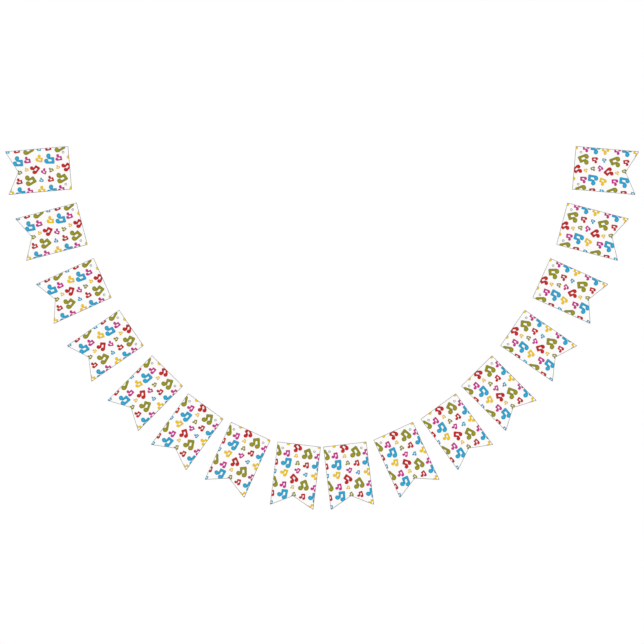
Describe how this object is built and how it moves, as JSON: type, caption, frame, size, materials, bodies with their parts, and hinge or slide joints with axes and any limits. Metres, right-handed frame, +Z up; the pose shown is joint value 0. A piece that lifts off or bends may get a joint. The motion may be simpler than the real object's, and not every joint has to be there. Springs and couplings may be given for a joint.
{
  "type": "bunting",
  "caption": "Bunting of swallowtail cloth flags printed with music notes, with punched corner holes for a cord, laid out flat in a hanging curve.",
  "frame": {"origin": "middle of the underside of the whole set, on the surface that the flags lie on", "axes": "+Z up out of the printed faces, +X across the curve towards its right end, +Y from the lowest pair of flags towards the open ends of the curve"},
  "size_m": [2.1972, 1.2602, 0.001],
  "materials": {
    "printed_cloth": "matt white woven cloth with a flat colour print, hot-cut edges with a thin grey fused line"
  },
  "bodies": {
    "root": {"flag_01": "printed_cloth", "flag_02": "printed_cloth", "flag_03": "printed_cloth", "flag_04": "printed_cloth", "flag_05": "printed_cloth", "flag_06": "printed_cloth", "flag_07": "printed_cloth", "flag_08": "printed_cloth", "flag_09": "printed_cloth", "flag_10": "printed_cloth", "flag_11": "printed_cloth", "flag_12": "printed_cloth", "flag_13": "printed_cloth", "flag_14": "printed_cloth", "flag_15": "printed_cloth", "flag_16": "printed_cloth"}
  },
  "joints": []
}
